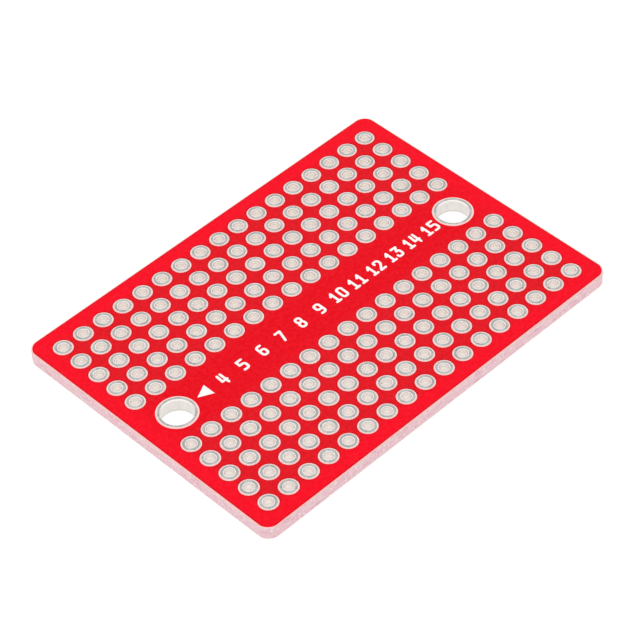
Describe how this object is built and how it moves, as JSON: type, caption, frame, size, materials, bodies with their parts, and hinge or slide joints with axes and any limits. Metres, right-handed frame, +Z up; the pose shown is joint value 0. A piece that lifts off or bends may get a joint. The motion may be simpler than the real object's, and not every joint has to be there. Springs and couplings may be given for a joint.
{
  "type": "solderable breadboard",
  "caption": "Small rounded circuit board with strips of plated holes on both sides of a free channel and a mounting hole at each end.",
  "frame": {"origin": "below the middle of the board, on the plane that its soldered underside rests on", "axes": "+X along the long side, with the column numbers rising; +Y across, towards the top of the digits; +Z up out of the printed face"},
  "size_m": [0.0458, 0.033, 0.0016],
  "materials": {
    "laminate": "milled edge of a pale translucent glass-fibre laminate",
    "copper": "plated copper",
    "solder": "satin hot-air-levelled solder",
    "solder_mask": "smooth glossy lacquer",
    "legend": "matt printed ink"
  },
  "bodies": {
    "root": {"back_strip_01": "copper", "back_strip_02": "copper", "back_strip_03": "copper", "back_strip_04": "copper", "back_strip_05": "copper", "back_strip_06": "copper", "back_strip_07": "copper", "back_strip_08": "copper", "back_strip_09": "copper", "back_strip_10": "copper", "back_strip_11": "copper", "back_strip_12": "copper", "back_strip_13": "copper", "back_strip_14": "copper", "back_strip_15": "copper", "back_strip_16": "copper", "back_strip_17": "copper", "bottom_solder_mask": "solder_mask", "front_strip_01": "copper", "front_strip_02": "copper", "front_strip_03": "copper", "front_strip_04": "copper", "front_strip_05": "copper", "front_strip_06": "copper", "front_strip_07": "copper", "front_strip_08": "copper", "front_strip_09": "copper", "front_strip_10": "copper", "front_strip_11": "copper", "front_strip_12": "copper", "front_strip_13": "copper", "front_strip_14": "copper", "front_strip_15": "copper", "front_strip_16": "copper", "front_strip_17": "copper", "hole_solder_mounting_left": "solder", "hole_solder_mounting_right": "solder", "hole_solder_row_a": "solder", "hole_solder_row_b": "solder", "hole_solder_row_c": "solder", "hole_solder_row_d": "solder", "hole_solder_row_e": "solder", "hole_solder_row_f": "solder", "hole_solder_row_g": "solder", "hole_solder_row_h": "solder", "hole_solder_row_i": "solder", "hole_solder_row_j": "solder", "laminate_core": "laminate", "mounting_sleeve_left": "copper", "mounting_sleeve_right": "copper", "top_legend": "legend", "top_solder_mask": "solder_mask"}
  },
  "joints": []
}
